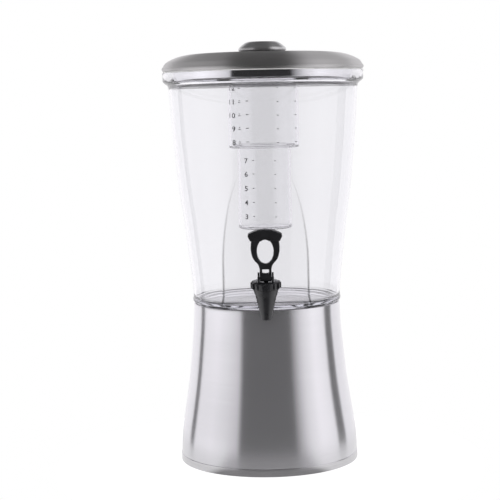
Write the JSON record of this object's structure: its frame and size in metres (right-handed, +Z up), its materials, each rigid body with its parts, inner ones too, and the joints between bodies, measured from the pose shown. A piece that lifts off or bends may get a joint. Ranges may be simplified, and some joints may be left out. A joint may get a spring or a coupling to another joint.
{
  "type": "beverage dispenser",
  "caption": "Countertop cold drink dispenser: clear tapered container with an ice core and a lever faucet, on a flared steel base, under a domed steel lid.",
  "frame": {"origin": "on the counter, on the axis of the round body", "axes": "+Z up along the body's axis, the faucet faces -Y"},
  "size_m": [0.279, 0.279, 0.5834],
  "materials": {
    "base_steel": "satin, brushed around",
    "band_steel": "polished rolled edge",
    "foot_rubber": "matte",
    "deck_plastic": "moulded",
    "clear_plastic": "clear, polished",
    "clear_core": "clear, polished",
    "washer_rubber": "matte",
    "nut_plastic": "moulded",
    "faucet_plastic": "moulded, semi-gloss",
    "lever_plastic": "moulded, semi-gloss",
    "stem_plastic": "moulded",
    "seat_silicone": "matte silicone",
    "lid_steel": "dark, brushed around",
    "skirt_steel": "polished",
    "gasket_rubber": "pale silicone",
    "knob_steel": "dark, polished",
    "pin_steel": "plain"
  },
  "bodies": {
    "base": {"base_shell": "base_steel", "base_rim_band": "band_steel", "foot_pads": "foot_rubber", "base_deck": "deck_plastic", "deck_pad": "gasket_rubber"},
    "container": {"container": "clear_plastic", "outer_washer": "washer_rubber", "inner_washer": "washer_rubber", "shank_nut": "nut_plastic", "faucet_body": "faucet_plastic", "faucet_bonnet": "faucet_plastic", "pivot_pin": "pin_steel"},
    "lever": {"lever": "lever_plastic", "crank_pin": "pin_steel"},
    "stem": {"stem": "stem_plastic", "seat_cup": "seat_silicone"},
    "ice_core": {"ice_sleeve": "clear_core", "ice_cup": "clear_core"},
    "lid": {"lid_dome": "lid_steel", "lid_skirt": "skirt_steel", "lid_gasket": "gasket_rubber", "lid_knob": "knob_steel", "knob_washer": "pin_steel", "knob_screw": "pin_steel"}
  },
  "joints": [
    {"name": "container_lift", "type": "slide", "parent": "base", "child": "container", "axis": [0, 0, 1], "range_m": [0, 0.05]},
    {"name": "ice_core_lift", "type": "slide", "parent": "container", "child": "ice_core", "axis": [0, 0, 1], "range_m": [0, 0.23]},
    {"name": "lid_lift", "type": "slide", "parent": "ice_core", "child": "lid", "axis": [0, 0, 1], "range_m": [0, 0.06]},
    {"name": "lever_pull", "type": "hinge", "parent": "container", "child": "lever", "pos_m": [0, -0.12544, 0.27002], "axis": [1, 0, 0], "range_deg": [0, 35], "stiffness_Nm_per_rad": 0.6, "springref_deg": -8.59},
    {"name": "stem_lift", "type": "slide", "parent": "container", "child": "stem", "axis": [0, -0.1294, 0.9916], "range_m": [0, 0.0032]}
  ],
  "couplings": [
    {"joint": "stem_lift", "follows": "lever_pull", "m_per_rad": 0.0052}
  ]
}
